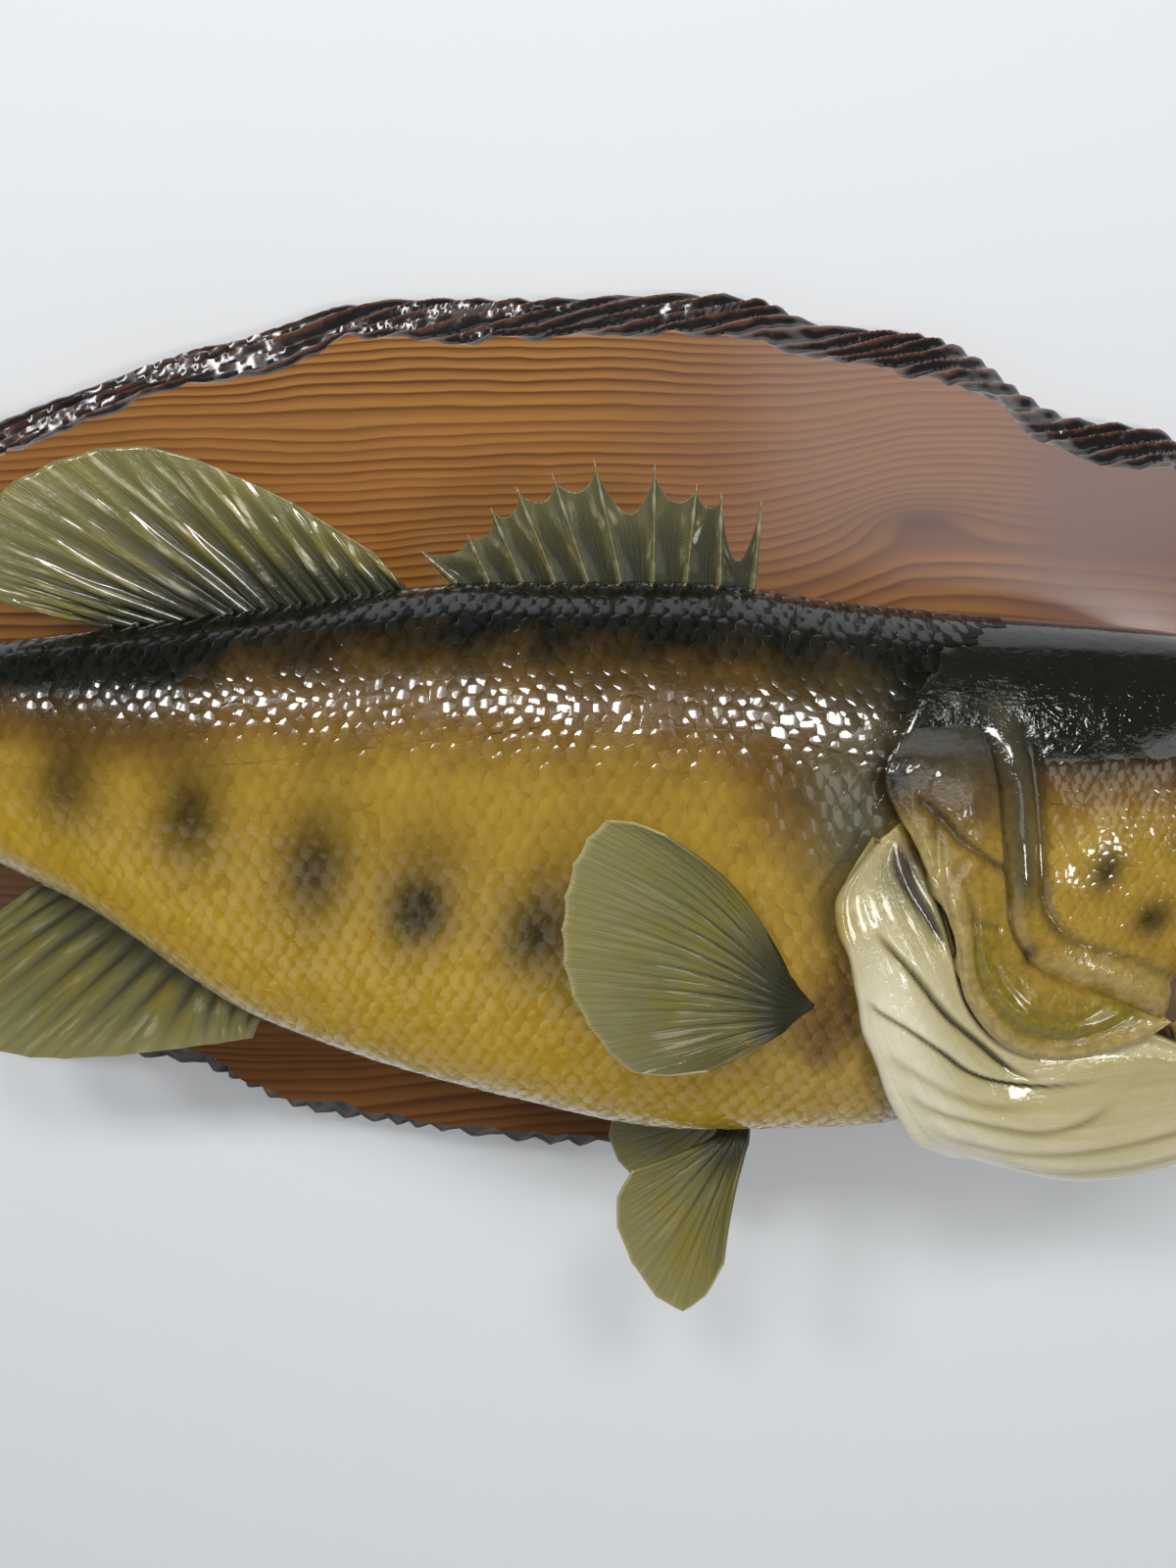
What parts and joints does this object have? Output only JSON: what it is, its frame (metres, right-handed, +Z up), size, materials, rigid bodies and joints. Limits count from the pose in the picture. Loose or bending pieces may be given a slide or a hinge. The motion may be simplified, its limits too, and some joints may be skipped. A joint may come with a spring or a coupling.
{
  "type": "mounted largemouth bass on a wood slab",
  "caption": "Life-size mounted largemouth bass with open mouth and spread gill covers, varnished, on a rough-edged varnished wood slab that hangs on a wall.",
  "frame": {"origin": "on the back face of the slab, at the middle of the slab, where it lies on the wall", "axes": "+X along the fish towards its snout, +Y into the wall, +Z up"},
  "size_m": [0.5964, 0.1325, 0.3174],
  "materials": {
    "varnished_wood": "gloss varnished softwood slab with growth-ring grain and a scorched, chipped rim",
    "hanger_steel": "zinc-plated saw-toothed hanger strip",
    "bass_skin": "dried fish skin with scales, painted dark green over ochre yellow, under thick wet-looking varnish",
    "gill_membrane": "cream gill membrane with long ray folds, under gloss varnish",
    "fin_web": "olive dried fins with raised rays, under gloss varnish",
    "mouth_lining": "pale pink painted mouth lining, glossy",
    "glass_eye": "glass eye with a brown and gold iris and a black pupil"
  },
  "bodies": {
    "root": {"board": "varnished_wood", "hanger_plate": "hanger_steel", "head": "bass_skin", "trunk": "bass_skin", "tail_stalk": "bass_skin", "upper_jaw": "bass_skin", "lower_jaw": "bass_skin", "tongue": "mouth_lining", "eye_right": "glass_eye", "eye_left": "glass_eye", "gill_cover_right": "bass_skin", "gill_cover_left": "bass_skin", "gill_membrane_right": "gill_membrane", "gill_membrane_left": "gill_membrane", "dorsal_fin_spiny": "fin_web", "dorsal_fin_soft": "fin_web", "anal_fin": "fin_web", "tail_fin": "fin_web", "pectoral_fin_right": "fin_web", "pectoral_fin_left": "fin_web", "pelvic_fin_right": "fin_web", "pelvic_fin_left": "fin_web"}
  },
  "joints": []
}
